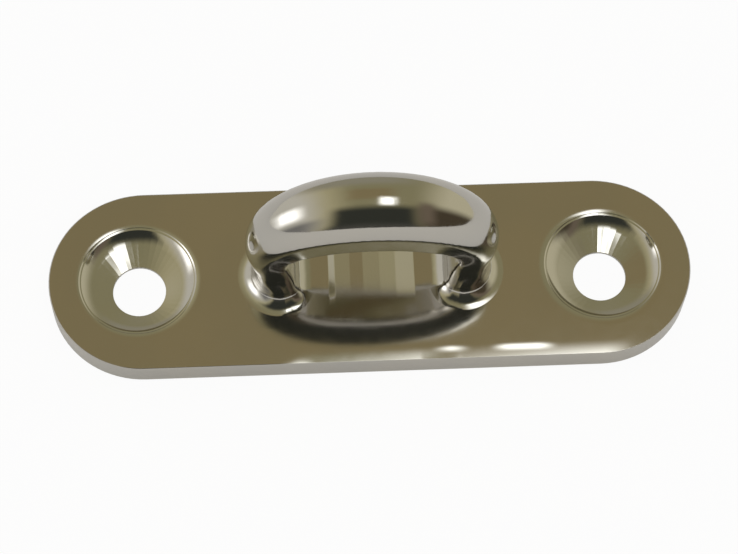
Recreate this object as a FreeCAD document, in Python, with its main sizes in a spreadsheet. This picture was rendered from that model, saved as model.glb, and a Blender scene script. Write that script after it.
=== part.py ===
"""Two-hole eye plate: a long plate with round ends and one closed eye standing across its middle.

The plate lies on the ground plane, long axis along X, and the eye stands up along Z.
All sizes are in millimetres and degrees.
"""
import FreeCAD
import Part
import Sketcher

import math
import os

NODE = "eye_plate"

# Two places closer than this count as one.
TOUCH = 1e-3

# Driving sizes: name, value, what it is.
SIZES = [
    ("plate_length", 65.0, "whole length along X"),
    ("plate_width", 19.2, "whole width along Y, also the diameter of the round ends"),
    ("plate_thick", 3.4, "height of the plate along its middle"),
    ("dome_radius", 150.0, "radius of the slightly domed top face, seen from the end"),
    ("top_chamfer", 0.1, "chamfer round the upper rim of the plate"),
    ("bottom_chamfer", 0.3, "chamfer round the lower rim of the plate"),
    ("hole_inset", 8.95, "distance of a screw hole from its end of the plate"),
    ("hole_width", 5.4, "diameter of a screw hole"),
    ("countersink_width", 11.6, "diameter of the countersink at the top face"),
    ("countersink_angle", 90.0, "included angle of the countersink"),
    ("countersink_rim_chamfer", 0.15, "chamfer round the rim of the countersink"),
    ("spring_height", 8.0, "height above the plate where the eye is widest"),
    ("eye_half_width", 12.5, "widest half width of the eye"),
    ("eye_height", 18.9, "top of the eye above the plate"),
    ("leg_breadth", 4.0, "from the outer side of a leg to its inner side, where each is widest"),
    ("opening_spring", 5.3, "height above the plate where the opening is widest"),
    ("opening_height", 10.4, "top of the opening above the plate"),
    ("neck_height", 3.6, "height above the plate of the neck of a leg, on its outer side"),
    ("neck_draw_in", 0.6, "how much nearer the middle the neck of a leg is than its widest place"),
    ("foot_sunk", 1.2, "how far the feet run into the plate"),
    ("foot_draw_in", 0.8, "the same for its foot"),
    ("crown_half_depth", 3.4, "half depth of the eye along Y at the crown"),
    ("leg_half_depth", 2.3, "half depth of the legs"),
    ("depth_growth", 1.0, "power by which the depth grows from spring to crown"),
    ("flank_lean", 10.0, "angle by which the flanks of the eye draw in towards the opening"),
    ("crown_rim_radius", 1.2, "rounding of the rims of the opening at the crown"),
    ("leg_rim_radius", 0.9, "the same at the legs"),
    ("foot_fillet", 1.8, "fillet between the legs and the plate"),
]

# Sections of the arch by their angle on its two ellipses, from the top down.
ARCH_SECTIONS = [("crown", 90.0), ("shoulder", 66.0), ("haunch", 42.0), ("shank", 20.0), ("spring", 0.0)]
LEG_SECTIONS = [("neck", "neck_height"), ("foot", "-foot_sunk")]


def write_sizes(doc):
    """Make the sheet with the driving sizes and the sizes of each section of the eye."""
    sheet = doc.addObject("Spreadsheet::Sheet", "Sizes")
    for row, (name, value, meaning) in enumerate(SIZES, start=1):
        sheet.set(f"A{row}", str(value))
        sheet.setAlias(f"A{row}", name)
        sheet.set(f"B{row}", meaning)
    row = len(SIZES) + 2
    for name, angle in ARCH_SECTIONS:
        write_section(sheet, row, name, {
            "outer_x": f"eye_half_width * cos({angle})",
            "outer_z": f"spring_height + (eye_height - spring_height) * sin({angle})",
            "inner_x": f"(eye_half_width - leg_breadth) * cos({angle})",
            "inner_z": f"opening_spring + (opening_height - opening_spring) * sin({angle})",
            "half_depth": "leg_half_depth + (crown_half_depth - leg_half_depth)"
                          f" * sin({angle}) ^ depth_growth",
            "rim_radius": f"leg_rim_radius + (crown_rim_radius - leg_rim_radius) * sin({angle})",
        })
        row += 1
    for name, height in LEG_SECTIONS:
        write_section(sheet, row, name, {
            "outer_x": f"eye_half_width - {name}_draw_in",
            "outer_z": height,
            "inner_x": f"eye_half_width - leg_breadth - {name}_draw_in",
            "inner_z": f"{height} * opening_spring / spring_height",
            "half_depth": "leg_half_depth",
            "rim_radius": "leg_rim_radius",
        })
        row += 1
    return sheet


def write_section(sheet, row, name, formulas):
    """Write the sizes of one section in a row of the sheet.

    The section is round at its outer end, with a radius of half its depth. Its flanks lean in
    from there to the two rims of the opening, and a flat lies between the rims.
    """
    at = name + "_at_"
    across, up = f"({at}outer_x - {at}inner_x)", f"({at}outer_z - {at}inner_z)"
    formulas["length"] = f"sqrt({across} ^ 2 + {up} ^ 2)"
    formulas["turn"] = f"atan2({across}; {up})"
    formulas["half_flat"] = (f"({at}half_depth - ({at}length - {at}half_depth) * sin(flank_lean)"
                             f" - {at}rim_radius * (1 - sin(flank_lean))) / cos(flank_lean)")
    for column, (key, formula) in zip("ABCDEFGHI", formulas.items()):
        sheet.set(f"{column}{row}", "=" + formula)
        sheet.setAlias(f"{column}{row}", at + key)


def plane(body, role):
    """Find one of the body's own origin planes."""
    return next(item for item in body.Origin.OriginFeatures if item.Role == role)


def add_sketch(body, name, role):
    """Add a sketch on one of the body's origin planes."""
    sketch = body.newObject("Sketcher::SketchObject", name)
    sketch.AttachmentSupport = [(plane(body, role), "")]
    sketch.MapMode = "FlatFace"
    return sketch


def dimension(sketch, name, formula, kind, *where):
    """Add a dimension to a sketch, name it and tie it to the sheet."""
    index = sketch.addConstraint(Sketcher.Constraint(kind, *where))
    sketch.renameConstraint(index, name)
    sketch.setExpression("Constraints." + name, formula)


def draw_plate(body, sheet):
    """Draw the plate seen from its end: flat below, upright sides and a slightly domed top."""
    sketch = add_sketch(body, "PlateProfile", "YZ_Plane")
    half, top, radius = sheet.plate_width / 2, sheet.plate_thick, sheet.dome_radius
    reach = math.asin(half / radius)
    edge = top - radius * (1 - math.cos(reach))
    corners = [FreeCAD.Vector(x, y, 0) for x, y in [(half, edge), (half, 0), (-half, 0), (-half, edge)]]
    dome = Part.Circle(FreeCAD.Vector(0, top - radius, 0), FreeCAD.Vector(0, 0, 1), radius)
    sketch.addGeometry([
        Part.ArcOfCircle(dome, math.pi / 2 - reach, math.pi / 2 + reach),
        Part.LineSegment(corners[3], corners[2]),
        Part.LineSegment(corners[2], corners[1]),
        Part.LineSegment(corners[1], corners[0]),
    ])
    sketch.addConstraint([
        Sketcher.Constraint("Coincident", 0, 2, 1, 1),
        Sketcher.Constraint("Coincident", 1, 2, 2, 1),
        Sketcher.Constraint("Coincident", 2, 2, 3, 1),
        Sketcher.Constraint("Coincident", 3, 2, 0, 1),
        Sketcher.Constraint("Vertical", 1),
        Sketcher.Constraint("Vertical", 3),
        Sketcher.Constraint("PointOnObject", 0, 3, -2),
        Sketcher.Constraint("Symmetric", 2, 1, 2, 2, -1, 1),
    ])
    dimension(sketch, "Width", "Sizes.plate_width", "DistanceX", 2, 1, 2, 2, 2 * half)
    dimension(sketch, "DomeRadius", "Sizes.dome_radius", "Radius", 0, radius)
    dimension(sketch, "DomeCentre", "Sizes.dome_radius - Sizes.plate_thick",
              "DistanceY", 0, 3, -1, 1, radius - top)
    return sketch


def draw_ends(body, sheet):
    """Draw what is cut off to round the ends: a frame round the outline of the plate."""
    sketch = add_sketch(body, "EndOutline", "XY_Plane")
    radius = sheet.plate_width / 2
    reach = sheet.plate_length / 2 - radius
    up = FreeCAD.Vector(0, 0, 1)
    right, left = FreeCAD.Vector(reach, 0, 0), FreeCAD.Vector(-reach, 0, 0)
    side = FreeCAD.Vector(0, radius, 0)
    sketch.addGeometry([
        Part.ArcOfCircle(Part.Circle(right, up, radius), -math.pi / 2, math.pi / 2),
        Part.LineSegment(right + side, left + side),
        Part.ArcOfCircle(Part.Circle(left, up, radius), math.pi / 2, 3 * math.pi / 2),
        Part.LineSegment(left - side, right - side),
        Part.Circle(FreeCAD.Vector(0, 0, 0), up, sheet.plate_length),
    ])
    sketch.addConstraint([
        Sketcher.Constraint("Tangent", 0, 2, 1, 1),
        Sketcher.Constraint("Tangent", 1, 2, 2, 1),
        Sketcher.Constraint("Tangent", 2, 2, 3, 1),
        Sketcher.Constraint("Tangent", 3, 2, 0, 1),
        Sketcher.Constraint("Horizontal", 1),
        Sketcher.Constraint("Symmetric", 0, 3, 2, 3, -1, 1),
        Sketcher.Constraint("Coincident", 4, 3, -1, 1),
    ])
    dimension(sketch, "EndRadius", "Sizes.plate_width / 2", "Radius", 0, radius)
    dimension(sketch, "EndCentre", "(Sizes.plate_length - Sizes.plate_width) / 2",
              "DistanceX", -1, 1, 0, 3, reach)
    dimension(sketch, "FrameRadius", "Sizes.plate_length", "Radius", 4, sheet.plate_length)
    return sketch


def draw_section(body, sheet, name, side):
    """Draw one section of the eye: round outside, leaning flanks, and a flat between two rims."""
    sketch = add_sketch(body, f"{name.title()}{'Right' if side > 0 else 'Left'}", "YZ_Plane")
    at = name + "_at_"
    half, length = sheet.get(at + "half_depth"), sheet.get(at + "length")
    rim, flat = sheet.get(at + "rim_radius"), sheet.get(at + "half_flat")
    lean, quarter = math.radians(sheet.flank_lean), math.pi / 2
    up = FreeCAD.Vector(0, 0, 1)
    outward = FreeCAD.Vector(math.cos(lean), -math.sin(lean), 0)
    outer_centre, rim_centre = FreeCAD.Vector(0, length - half, 0), FreeCAD.Vector(flat, rim, 0)
    flank_top, flank_foot = outer_centre + outward * half, rim_centre + outward * rim

    def arc(centre, radius, start, end):
        return Part.ArcOfCircle(Part.Circle(centre, up, radius), start, end)

    def mirrored(point):
        return FreeCAD.Vector(-point.x, point.y, 0)

    sketch.addGeometry([
        arc(outer_centre, half, -lean, 2 * quarter + lean),
        Part.LineSegment(mirrored(flank_top), mirrored(flank_foot)),
        arc(mirrored(rim_centre), rim, 2 * quarter + lean, 3 * quarter),
        Part.LineSegment(FreeCAD.Vector(-flat, 0, 0), FreeCAD.Vector(flat, 0, 0)),
        arc(rim_centre, rim, 3 * quarter, 4 * quarter - lean),
        Part.LineSegment(flank_foot, flank_top),
    ])
    sketch.addConstraint([
        Sketcher.Constraint("Tangent", 0, 2, 1, 1),
        Sketcher.Constraint("Tangent", 1, 2, 2, 1),
        Sketcher.Constraint("Tangent", 2, 2, 3, 1),
        Sketcher.Constraint("Tangent", 3, 2, 4, 1),
        Sketcher.Constraint("Tangent", 4, 2, 5, 1),
        Sketcher.Constraint("Tangent", 5, 2, 0, 1),
        Sketcher.Constraint("PointOnObject", 0, 3, -2),
        Sketcher.Constraint("Horizontal", 3),
        Sketcher.Constraint("Symmetric", 3, 1, 3, 2, -1, 1),
        Sketcher.Constraint("Equal", 2, 4),
    ])
    at = "Sizes." + at
    dimension(sketch, "OuterRadius", at + "half_depth", "Radius", 0, half)
    dimension(sketch, "RimRadius", at + "rim_radius", "Radius", 2, rim)
    dimension(sketch, "OuterEnd", f"{at}length - {at}half_depth",
              "DistanceY", -1, 1, 0, 3, length - half)
    dimension(sketch, "HalfFlat", at + "half_flat", "DistanceX", -1, 1, 3, 2, flat)

    # Any start angle gives the turn its axis, and the sheet then sets the angle itself.
    start = FreeCAD.Rotation(FreeCAD.Vector(side, 0, 0), 45)
    sketch.AttachmentOffset = FreeCAD.Placement(FreeCAD.Vector(0, 0, 0), start)
    sketch.setExpression("AttachmentOffset.Base.y", f"Sizes.plate_thick + {at}inner_z")
    sketch.setExpression("AttachmentOffset.Base.z", f"{side} * {at}inner_x")
    sketch.setExpression("AttachmentOffset.Rotation.Angle", at + "turn")
    return sketch


def soften(body, kind, name, test, key, size):
    """Round or chamfer the edges of the newest solid of the body that pass a test."""
    base = body.Tip
    edges = [f"Edge{n}" for n, edge in enumerate(base.Shape.Edges, start=1) if test(edge)]
    softening = body.newObject("PartDesign::" + kind, name)
    softening.Base = (base, edges)
    softening.setExpression(key, "Sizes." + size)
    body.Document.recompute()


def draw_hole_centres(body, sheet, place):
    """Mark the two screw holes with a circle each, one mirrored to the other."""
    sketch = add_sketch(body, "HoleCentres", "XY_Plane")
    up = FreeCAD.Vector(0, 0, 1)
    radius = sheet.hole_width / 2
    sketch.addGeometry([
        Part.Circle(FreeCAD.Vector(place, 0, 0), up, radius),
        Part.Circle(FreeCAD.Vector(-place, 0, 0), up, radius),
    ])
    sketch.addConstraint([
        Sketcher.Constraint("Symmetric", 0, 3, 1, 3, -2),
        Sketcher.Constraint("PointOnObject", 0, 3, -1),
        Sketcher.Constraint("Equal", 0, 1),
    ])
    dimension(sketch, "Place", "Sizes.plate_length / 2 - Sizes.hole_inset",
              "DistanceX", -1, 1, 0, 3, place)
    dimension(sketch, "HoleRadius", "Sizes.hole_width / 2", "Radius", 0, radius)
    sketch.setExpression("AttachmentOffset.Base.z", "Sizes.plate_thick")
    return sketch


def check(doc):
    """Stop when any object failed to build."""
    for item in doc.Objects:
        bad = {"Invalid", "Error"} & set(item.State)
        shape = getattr(item, "Shape", None)
        if bad or (shape is not None and (shape.isNull() or not shape.isValid())):
            raise RuntimeError(f"{item.Name} did not build: {item.State}")


def build_eye(body, sheet, doc):
    """Raise the eye through its sections, from the left foot over the crown to the right foot."""
    names = [name for name, _ in ARCH_SECTIONS + LEG_SECTIONS]
    left = [draw_section(body, sheet, name, -1) for name in reversed(names[1:])]
    right = [draw_section(body, sheet, name, 1) for name in names]
    sections = left + right
    eye = body.newObject("PartDesign::AdditiveLoft", "Eye")
    eye.Profile = sections[0]
    eye.Sections = sections[1:]
    doc.recompute()


def build_plate(body, sheet, doc):
    """Add the plate under the eye, round its ends, fill in the feet and soften the plate's edges."""
    profile = draw_plate(body, sheet)
    plate = body.newObject("PartDesign::Pad", "Plate")
    plate.Profile = profile
    plate.Midplane = True
    plate.setExpression("Length", "Sizes.plate_length")
    doc.recompute()
    outline = draw_ends(body, sheet)
    ends = body.newObject("PartDesign::Pocket", "RoundEnds")
    ends.Profile = outline
    ends.Type = "ThroughAll"
    ends.Reversed = True
    doc.recompute()

    def in_outline(edge):
        middle = edge.valueAt(sum(edge.ParameterRange) / 2)
        return outline.Shape.distToShape(Part.Vertex(middle.x, middle.y, 0))[0] < TOUCH

    def is_on_top(edge):
        box = edge.BoundBox
        return box.ZMin > sheet.plate_thick / 2 and box.ZMax < sheet.plate_thick + TOUCH

    def is_foot(edge):
        return is_on_top(edge) and not in_outline(edge)

    def is_top_rim(edge):
        return is_on_top(edge) and in_outline(edge)

    def is_bottom_rim(edge):
        return edge.BoundBox.ZMax < TOUCH and in_outline(edge)

    soften(body, "Fillet", "FootFillets", is_foot, "Radius", "foot_fillet")
    soften(body, "Chamfer", "TopChamfer", is_top_rim, "Size", "top_chamfer")
    soften(body, "Chamfer", "BottomChamfer", is_bottom_rim, "Size", "bottom_chamfer")


def build_holes(body, sheet, doc):
    """Sink the two screw holes into the plate and soften their rims."""
    place = sheet.plate_length / 2 - sheet.hole_inset
    centres = draw_hole_centres(body, sheet, place)
    doc.recompute()
    holes = body.newObject("PartDesign::Hole", "ScrewHoles")
    holes.Profile = centres
    doc.recompute()
    holes.ThreadType = "None"
    holes.DepthType = "ThroughAll"
    holes.HoleCutType = "Countersink"
    holes.HoleCutCustomValues = True
    holes.setExpression("Diameter", "Sizes.hole_width")
    holes.setExpression("HoleCutDiameter", "Sizes.countersink_width")
    holes.setExpression("HoleCutCountersinkAngle", "Sizes.countersink_angle")
    doc.recompute()

    # The rim runs over the dome, so it lies a little nearer to the hole where the face is lower.
    radius = sheet.countersink_width / 2
    play = radius ** 2 / sheet.dome_radius

    def is_rim(edge):
        middle = edge.valueAt(sum(edge.ParameterRange) / 2)
        away = math.hypot(abs(middle.x) - place, middle.y)
        return edge.BoundBox.ZMin > sheet.plate_thick / 2 and abs(away - radius) < play

    soften(body, "Chamfer", "CountersinkRims", is_rim, "Size", "countersink_rim_chamfer")


def main():
    """Build the part and write it out."""
    os.makedirs("parts", exist_ok=True)
    doc = FreeCAD.newDocument("EyePlate")
    sheet = write_sizes(doc)
    doc.recompute()
    body = doc.addObject("PartDesign::Body", "Body")
    body.Label = NODE
    build_eye(body, sheet, doc)
    build_plate(body, sheet, doc)
    build_holes(body, sheet, doc)
    check(doc)
    body.Shape.exportStep(f"parts/{NODE}.step")


main()
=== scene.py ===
"""Eye plate of polished stainless steel, seen from above and in front."""
import math

import bpy
from mathutils import Matrix, Vector

# Lengths are in millimetres, angles in degrees, and a slope is a rise over a run. The part lies
# along X on Z = 0, and its front is towards -Y. To lean right or forward is to lean to +X or -Y.
MM = 0.001

# The camera circles the point that it aims at, then rolls, and slides in its own plane.
CAMERA_AZIMUTH = -4.97
CAMERA_ELEVATION = 66.76
CAMERA_ROLL = -2.65
CAMERA_DISTANCE = 250.0
CAMERA_SLIDE = (0.160, 0.801)
CAMERA_AIM = (0.0, 0.315, 3.4)
CAMERA_CLIP = (10.0, 10000.0)
FOCAL_PIXELS = 2470.0
IMAGE_WIDTH = 738
SENSOR_WIDTH = 36.0

# The plate, as the part has it: its round ends and its screw seats. Its underside is below
# UNDERSIDE_LIMIT, and the eye is above PLATE_LIMIT.
END_CENTRE = 22.9
END_RADIUS = 9.6
SEAT_CENTRE = 23.55
SEAT_INSIDE = 2.7
SEAT_OUTSIDE = 5.8
UNDERSIDE_LIMIT = 0.1
PLATE_LIMIT = 3.6

# Polished cast steel, a little uneven in tone and a little rougher on the plate. Grains are so
# many to a metre, and their noise goes from one look to the other within GRAIN_MIDDLE.
STEEL_COLOURS = [(0.55, 0.537, 0.505), (0.575, 0.553, 0.51)]
STEEL_ROUGHNESS = (0.08, 0.10)
PLATE_ROUGHER = 0.015
TONE_GRAINS = 110.0
ROUGHNESS_GRAINS = 900.0
GRAIN_DETAIL = 2.0
GRAIN_MIDDLE = (0.3, 0.7)

# The fine chamfer of the plate's rim, turned further towards the side wall by polishing.
RIM_CHAMFER = 0.12
RIM_CHAMFER_SLOPE = 0.6

# Ripples along the plate's front. Each row is a ripple's left and right end. All lie in one
# strip, between two distances from the plate's edge, and lean right and forward.
RIPPLES = [(6.6, 8.8), (12.4, 17.4)]
RIPPLE_BLEND = 1.3
RIPPLE_STRIP = (0.85, 1.35)
RIPPLE_STRIP_BLEND = 0.35
RIPPLE_LEAN = (2.2, 6.0)

# Wear along the plate's front edge. Each row is a stretch's left and right end, the slope that
# it reaches at the edge, and how far it leans right.
WEARS = [(-8.0, 6.5, 0.17, 1.4), (7.0, 25.0, 0.08, 0.0)]
WEAR_BLEND = 2.0
WEAR_WIDTH = 1.5

# The screw seats look like shallow dishes with a soft lip and a slight wave. They are cones with
# a slope of 1 in the part, and the shading takes the dish's slope off that: all of it as far out
# as the dish's edge, and less and less from there to the seat's outside.
DISH_EDGE = 4.4
DISH_SLOPE = 0.75
DISH_WAVE = 0.12
DISH_WAVE_GRAINS = 260.0
RIGHT_DISH_LEAN = 6.0
LIP_WIDTH = 0.8
LIP_SLOPE = 0.34

# Belt marks on the plate under the eye, where polish hardly reaches. Each row is a mark's left
# and right edge and how far it leans right.
MARKS = [(-4.3, -3.65, -25.0), (-3.65, -2.1, -11.0), (-2.1, -0.8, -6.0), (-0.8, 0.9, -12.0),
         (0.9, 2.5, -15.0), (2.5, 4.4, -22.0)]
MARK_BLEND = 0.08
MARKS_FRONT = -2.8
MARKS_BACK = 3.8
MARKS_FADE = 1.0
MARKS_ROUGHER = 0.08

# Pale floor. The camera sees it nearly white, and it still takes a little shadow.
FLOOR_COLOUR = (0.64, 0.62, 0.575)
FLOOR_SIZE = 900.0
FLOOR_WHITE = (1.0, 1.0, 1.0)
FLOOR_WHITE_SEEN = 0.94
FLOOR_WHITE_MIRRORED = 0.05

# Plain light: an even sky, which the camera sees as the same white, and one soft lamp in front.
SKY_COLOUR = (0.96, 0.97, 1.0)
SKY_STRENGTH = 0.75
BACKGROUND_COLOUR = (0.97, 0.97, 0.97)
LAMP_SIZE = 400.0
LAMP_WATTS = 2.0
LAMP_PLACE = (100.0, -300.0, 700.0)

# The studio that the steel mirrors, as soft-edged patches round the part. Each row is a name,
# the patch's left and right edge, its back and front edge, the softness of the first two edges
# and of the last two, and its light. Edges are degrees from straight up, to the right or to the
# front, and FAR stands for no edge. Later rows lie over earlier ones. SMALLEST_DIVISOR is for
# straight up, where the part of a direction that is level comes to nothing.
STUDIO_RADIUS = 1500.0
STUDIO_SEGMENTS = 96
STUDIO_RINGS = 48
FAR = 400
SMALLEST_DIVISOR = 1e-6
ROOM_LIGHT = (0.33, 0.305, 0.18)
STUDIO = [
    ("ceiling", -20, 16, -40, -5, 8, 8, (0.31, 0.255, 0.138)),
    ("left wall", -FAR, -23, -FAR, FAR, 14, 12, (0.54, 0.495, 0.31)),
    ("far left wall", -FAR, -44, -FAR, FAR, 15, 12, (0.71, 0.69, 0.62)),
    ("right wall", 47, FAR, -FAR, FAR, 18, 12, (0.66, 0.62, 0.45)),
    ("back wall", -46, 26, -FAR, -60, 18, 14, (0.37, 0.35, 0.27)),
    ("left corner", -FAR, -43, 43, FAR, 18, 11, (0.24, 0.235, 0.23)),
    ("dark front", -30, 34, 20, FAR, 8, 13, (0.045, 0.048, 0.040)),
    ("front sill", -34, 36, 78, FAR, 12, 12, (0.082, 0.081, 0.072)),
    ("dark right", 36, FAR, 12, FAR, 10, 16, (0.085, 0.068, 0.045)),
    ("right post", 37, 49, 4, 70, 6, 16, (0.20, 0.16, 0.12)),
    ("window", -84, -59, -13, 26, 9, 12, (2.5, 2.5, 2.5)),
    ("lamp", 6.5, 17, -8, 15, 4, 7, (2.9, 2.95, 2.9)),
]


def add_camera():
    """Place the camera where the photograph was taken from."""
    azimuth, elevation = math.radians(CAMERA_AZIMUTH), math.radians(CAMERA_ELEVATION)
    back = Vector((math.sin(azimuth) * math.cos(elevation),
                   -math.cos(azimuth) * math.cos(elevation), math.sin(elevation)))
    right = Vector((math.cos(azimuth), math.sin(azimuth), 0))
    axes = Matrix((right, back.cross(right), back)).transposed()
    turn = axes @ Matrix.Rotation(-math.radians(CAMERA_ROLL), 3, "Z")
    data = bpy.data.cameras.new("Camera")
    camera = bpy.data.objects.new("Camera", data)
    bpy.context.scene.collection.objects.link(camera)
    slide = Vector((-CAMERA_SLIDE[0], -CAMERA_SLIDE[1], CAMERA_DISTANCE))
    place = Vector(CAMERA_AIM) + turn @ slide
    camera.matrix_world = Matrix.Translation(place * MM) @ turn.to_4x4()
    data.sensor_width = SENSOR_WIDTH
    data.lens = FOCAL_PIXELS / IMAGE_WIDTH * SENSOR_WIDTH
    data.clip_start, data.clip_end = (end * MM for end in CAMERA_CLIP)
    bpy.context.scene.camera = camera


class Shader:
    """Writes the nodes of a material or world as sums and products."""

    def __init__(self, owner):
        self.owner = owner
        owner.use_nodes = True
        self.tree = owner.node_tree
        self.tree.nodes.clear()

    def node(self, kind, **settings):
        """Add a node and set its properties."""
        made = self.tree.nodes.new(kind)
        for name, value in settings.items():
            setattr(made, name, value)
        return made

    def feed(self, socket, value):
        """Give a socket a link or a plain value."""
        if isinstance(value, bpy.types.NodeSocket):
            self.tree.links.new(value, socket)
        else:
            socket.default_value = value

    def fill(self, node, values):
        """Feed a node's sockets by their names."""
        for name, value in values.items():
            self.feed(node.inputs[name], value)

    def apply(self, kind, values, **settings):
        """Add a node, feed its first sockets in order and give its first output."""
        made = self.node(kind, **settings)
        for socket, value in zip(made.inputs, values):
            self.feed(socket, value)
        return made.outputs[0]

    def compute(self, operation, *values):
        """Add a Math node."""
        return self.apply("ShaderNodeMath", values, operation=operation)

    def product(self, values):
        """Multiply any number of values."""
        total = values[0]
        for value in values[1:]:
            total = self.compute("MULTIPLY", total, value)
        return total

    def sum(self, values):
        """Add any number of values."""
        total = values[0]
        for value in values[1:]:
            total = self.compute("ADD", total, value)
        return total

    def minus(self, first, second):
        """Take the second value from the first."""
        return self.compute("SUBTRACT", first, second)

    def length(self, x, y):
        """Give the length of a flat vector."""
        return self.compute("SQRT", self.sum([self.product([x, x]), self.product([y, y])]))

    def ramp(self, value, low, high, start=0.0, end=1.0, shape="LINEAR"):
        """Go evenly from start at low to end at high, and stay there."""
        made = self.node("ShaderNodeMapRange", interpolation_type=shape)
        self.fill(made, {"Value": value, "From Min": low, "From Max": high,
                         "To Min": start, "To Max": end})
        return made.outputs["Result"]

    def smooth(self, value, low, high, start=0.0, end=1.0):
        """Go softly from start at low to end at high, and stay there."""
        return self.ramp(value, low, high, start, end, "SMOOTHSTEP")

    def rise(self, value, place, soft):
        """Go softly from 0 to 1 round a place."""
        return self.smooth(value, place - soft, place + soft)

    def fall(self, value, place, soft):
        """Go softly from 1 to 0 round a place."""
        return self.smooth(value, place - soft, place + soft, 1.0, 0.0)

    def band(self, value, low, high, soft):
        """Give 1 between two places and 0 outside them, with soft edges."""
        return self.product([self.rise(value, low * MM, soft * MM),
                             self.fall(value, high * MM, soft * MM)])

    def bend(self, share, width, slope):
        """Give a height that reaches a slope over a width, as the share goes from 0 to 1."""
        return self.product([share, share, 0.5 * slope * width * MM])

    def falling(self, value, width, slope):
        """Give a height that falls away, ever steeper, as the value goes from the width to 0."""
        return self.bend(self.ramp(value, 0.0, width * MM, 1.0, 0.0), width, -slope)

    def mix(self, share, first, second):
        """Mix two colours."""
        made = self.node("ShaderNodeMix", data_type="RGBA")
        for name, part in (("Factor", share), ("A", first), ("B", second)):
            socket = next(s for s in made.inputs if s.name == name and s.enabled)
            self.feed(socket, part)
        return next(s for s in made.outputs if s.enabled)

    def split(self, vector):
        """Give the three parts of a vector."""
        made = self.node("ShaderNodeSeparateXYZ")
        self.feed(made.inputs[0], vector)
        return made.outputs

    def vector(self, operation, *values):
        """Add a Vector Math node."""
        return self.apply("ShaderNodeVectorMath", values, operation=operation)

    def place(self):
        """Give the point in the object's own frame."""
        return self.node("ShaderNodeTexCoord").outputs["Object"]

    def noise(self, place, grains, detail=GRAIN_DETAIL):
        """Add a noise of so many grains to a metre, from 0 to 1."""
        made = self.node("ShaderNodeTexNoise")
        self.fill(made, {"Vector": place, "Scale": grains, "Detail": detail})
        return made.outputs["Fac"]

    def lean(self, normal, leans):
        """Lean a normal right and forward, in degrees, by as much as each share says."""
        for share, right, forward in leans:
            turn = self.node("ShaderNodeVectorMath", operation="SCALE")
            self.feed(turn.inputs[0], (math.radians(right), -math.radians(forward), 0.0))
            self.feed(turn.inputs["Scale"], share)
            normal = self.vector("ADD", normal, turn.outputs[0])
        return self.vector("NORMALIZE", normal)

    def glow(self, kind, colour, strength=1.0):
        """Add an Emission or Background node."""
        made = self.node(kind)
        self.fill(made, {"Color": colour, "Strength": strength})
        return made.outputs[0]

    def blend(self, share, first, second):
        """Blend two shaders."""
        return self.apply("ShaderNodeMixShader", (share, first, second))

    def finish(self, kind, surface):
        """Send the surface to an output of this kind and give the material or world."""
        self.feed(self.node(kind).inputs["Surface"], surface)
        return self.owner


def four(colour):
    """Add the alpha that colour sockets want."""
    return (*colour, 1.0)


class Places:
    """Where a point of the part lies, as shares from 0 to 1 and distances in metres."""

    def __init__(self, shader):
        self.point = shader.place()
        x, y, z = shader.split(self.point)
        self.front = shader.compute("LESS_THAN", y, 0.0)
        self.right = shader.compute("GREATER_THAN", x, 0.0)
        self.above = shader.compute("GREATER_THAN", z, UNDERSIDE_LIMIT * MM)
        self.plate = shader.compute("LESS_THAN", z, PLATE_LIMIT * MM)

        from_middle = shader.compute("ABSOLUTE", x)
        past_end = shader.compute("MAXIMUM", 0.0, shader.minus(from_middle, END_CENTRE * MM))
        self.from_edge = shader.minus(END_RADIUS * MM, shader.length(past_end, y))
        past_seat = shader.minus(from_middle, SEAT_CENTRE * MM)
        self.from_seat = shader.length(past_seat, y)
        self.dish = shader.ramp(self.from_seat, DISH_EDGE * MM, SEAT_OUTSIDE * MM, 1.0, 0.0)

        self.ripples = shader.sum([shader.band(x, *ends, RIPPLE_BLEND) for ends in RIPPLES])
        self.wears = [shader.product([self.front, shader.band(x, left, right, WEAR_BLEND)])
                      for left, right, _, _ in WEARS]
        under_eye = shader.product([shader.band(y, MARKS_FRONT, MARKS_BACK, MARKS_FADE),
                                    self.plate])
        self.marks = [shader.product([under_eye, shader.band(x, left, right, MARK_BLEND)])
                      for left, right, _ in MARKS]


def steel_tone(shader, places):
    """Give the steel's uneven colour."""
    share = shader.smooth(shader.noise(places.point, TONE_GRAINS), *GRAIN_MIDDLE)
    return shader.mix(share, *map(four, STEEL_COLOURS))


def steel_roughness(shader, places):
    """Give the steel's roughness, with more of it on the plate and in the belt marks."""
    noise = shader.noise(places.point, ROUGHNESS_GRAINS)
    return shader.sum([shader.smooth(noise, *GRAIN_MIDDLE, *STEEL_ROUGHNESS),
                       shader.product([places.plate, PLATE_ROUGHER]),
                       shader.product([shader.sum(places.marks), MARKS_ROUGHER])])


def steel_height(shader, places):
    """Give the height of the chamfer, the wear and the seats' dishes, in metres."""
    flat = shader.ramp(places.from_seat, SEAT_INSIDE * MM, DISH_EDGE * MM, 1.0, 0.0)
    flat_rise = DISH_SLOPE * (DISH_EDGE - SEAT_INSIDE) * MM
    wave = shader.noise(places.point, DISH_WAVE_GRAINS, detail=0.0)
    past_seat = shader.minus(places.from_seat, SEAT_OUTSIDE * MM)
    heights = [shader.falling(places.from_edge, RIM_CHAMFER, RIM_CHAMFER_SLOPE)]
    heights += [shader.product([wear, shader.falling(places.from_edge, WEAR_WIDTH, slope)])
                for wear, (_, _, slope, _) in zip(places.wears, WEARS)]
    heights += [shader.bend(places.dish, SEAT_OUTSIDE - DISH_EDGE, DISH_SLOPE),
                shader.product([flat, flat_rise]),
                shader.product([places.dish, wave, DISH_WAVE * MM]),
                shader.falling(past_seat, LIP_WIDTH, LIP_SLOPE)]
    return shader.product([shader.sum(heights), places.above])


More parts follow.
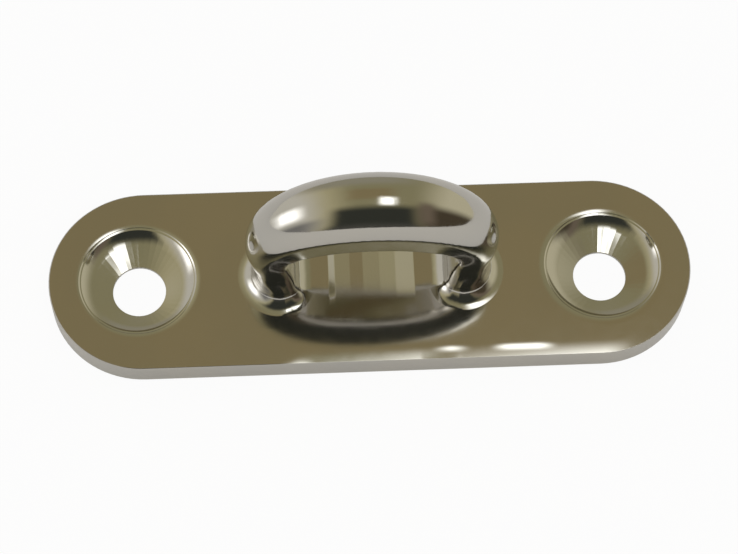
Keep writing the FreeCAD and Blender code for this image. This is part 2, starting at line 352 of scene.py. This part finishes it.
def steel_leans(shader, places):
    """Give each lean of the steel's surface as a share and degrees right and forward."""
    strip = shader.band(places.from_edge, *RIPPLE_STRIP, RIPPLE_STRIP_BLEND)
    near = shader.product([shader.ramp(places.from_edge, 0.0, WEAR_WIDTH * MM, 1.0, 0.0),
                           places.above])
    leans = [(shader.product([places.dish, places.right, places.above]), RIGHT_DISH_LEAN, 0.0),
             (shader.product([places.front, places.ripples, strip, places.above]),
              *RIPPLE_LEAN)]
    leans += [(shader.product([wear, near]), right, 0.0)
              for wear, (_, _, _, right) in zip(places.wears, WEARS)]
    leans += [(mark, right, 0.0) for mark, (_, _, right) in zip(places.marks, MARKS)]
    return leans


def make_steel():
    """Make the polished steel."""
    shader = Shader(bpy.data.materials.new("polished_steel"))
    places = Places(shader)
    bump = shader.node("ShaderNodeBump")
    shader.fill(bump, {"Height": steel_height(shader, places), "Distance": 1.0, "Strength": 1.0})
    surface = shader.node("ShaderNodeBsdfPrincipled")
    shader.fill(surface, {
        "Base Color": steel_tone(shader, places),
        "Metallic": 1.0,
        "Roughness": steel_roughness(shader, places),
        "Normal": shader.lean(bump.outputs["Normal"], steel_leans(shader, places))})
    return shader.finish("ShaderNodeOutputMaterial", surface.outputs["BSDF"])


def make_surroundings():
    """Make the studio that only the steel's mirror image shows."""
    shader = Shader(bpy.data.materials.new("surroundings"))
    x, y, z = shader.split(shader.vector("NORMALIZE", shader.place()))
    from_top = shader.compute("DEGREES", shader.compute("ARCCOSINE", z))
    level = shader.compute("MAXIMUM", shader.length(x, y), SMALLEST_DIVISOR)
    share = shader.compute("DIVIDE", from_top, level)
    across = shader.product([x, share])
    forward = shader.product([y, share, -1.0])
    colour = four(ROOM_LIGHT)
    for _, left, right, back, front, side_soft, end_soft, light in STUDIO:
        edges = []
        for value, low, high, soft in ((across, left, right, side_soft),
                                       (forward, back, front, end_soft)):
            if low > -FAR:
                edges.append(shader.rise(value, low, soft))
            if high < FAR:
                edges.append(shader.fall(value, high, soft))
        colour = shader.mix(shader.product(edges), colour, four(light))
    glow = shader.glow("ShaderNodeEmission", colour)
    return shader.finish("ShaderNodeOutputMaterial", glow)


def add_surroundings():
    """Put the mirrored studio round the part. It casts no shadow and only reflections see it."""
    bpy.ops.mesh.primitive_uv_sphere_add(segments=STUDIO_SEGMENTS, ring_count=STUDIO_RINGS,
                                         radius=STUDIO_RADIUS * MM)
    dome = bpy.context.object
    dome.name = "surroundings"
    dome.data.materials.append(make_surroundings())
    dome.visible_camera = dome.visible_diffuse = dome.visible_shadow = False
    dome.visible_transmission = dome.visible_volume_scatter = False


def make_floor():
    """Make the floor's paper, which is partly plain white to the camera and to reflections."""
    shader = Shader(bpy.data.materials.new("floor"))
    paper = shader.node("ShaderNodeBsdfDiffuse")
    shader.feed(paper.inputs["Color"], four(FLOOR_COLOUR))
    path = shader.node("ShaderNodeLightPath").outputs
    mirrored = shader.compute("MAXIMUM", path["Is Glossy Ray"], path["Is Transmission Ray"])
    share = shader.sum([shader.product([path["Is Camera Ray"], FLOOR_WHITE_SEEN]),
                        shader.product([mirrored, FLOOR_WHITE_MIRRORED])])
    white = shader.glow("ShaderNodeEmission", four(FLOOR_WHITE))
    return shader.finish("ShaderNodeOutputMaterial",
                         shader.blend(share, paper.outputs[0], white))


def add_floor():
    """Add the pale floor."""
    bpy.ops.mesh.primitive_plane_add(size=FLOOR_SIZE * MM, location=(0, 0, 0))
    floor = bpy.context.object
    floor.name = "floor"
    floor.data.materials.append(make_floor())


def add_sky():
    """Light the scene evenly from all round, and show the camera plain white instead."""
    shader = Shader(bpy.data.worlds.new("World"))
    path = shader.node("ShaderNodeLightPath").outputs
    sky = shader.glow("ShaderNodeBackground", four(SKY_COLOUR), SKY_STRENGTH)
    white = shader.glow("ShaderNodeBackground", four(BACKGROUND_COLOUR))
    bpy.context.scene.world = shader.finish("ShaderNodeOutputWorld",
                                            shader.blend(path["Is Camera Ray"], sky, white))


def add_lamp():
    """Add one soft lamp in front and above, which isn't seen or mirrored itself."""
    data = bpy.data.lights.new("softbox", "AREA")
    data.shape, data.size = "SQUARE", LAMP_SIZE * MM
    data.energy = LAMP_WATTS
    lamp = bpy.data.objects.new("softbox", data)
    lamp.location = Vector(LAMP_PLACE) * MM
    lamp.rotation_euler = (-lamp.location).to_track_quat("-Z", "Y").to_euler()
    lamp.visible_glossy = False
    lamp.visible_camera = False
    bpy.context.scene.collection.objects.link(lamp)


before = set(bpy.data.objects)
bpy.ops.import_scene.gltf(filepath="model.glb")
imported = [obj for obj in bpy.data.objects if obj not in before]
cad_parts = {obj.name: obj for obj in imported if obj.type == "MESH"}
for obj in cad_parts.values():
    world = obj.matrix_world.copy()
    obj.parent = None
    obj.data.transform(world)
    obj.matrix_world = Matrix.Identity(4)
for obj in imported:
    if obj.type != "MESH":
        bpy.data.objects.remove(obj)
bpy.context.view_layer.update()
add_camera()
add_floor()
add_sky()
add_lamp()
add_surroundings()
steel = make_steel()
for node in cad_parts.values():
    for slot in node.material_slots:
        slot.material = steel
bpy.context.scene.view_settings.view_transform = "Standard"
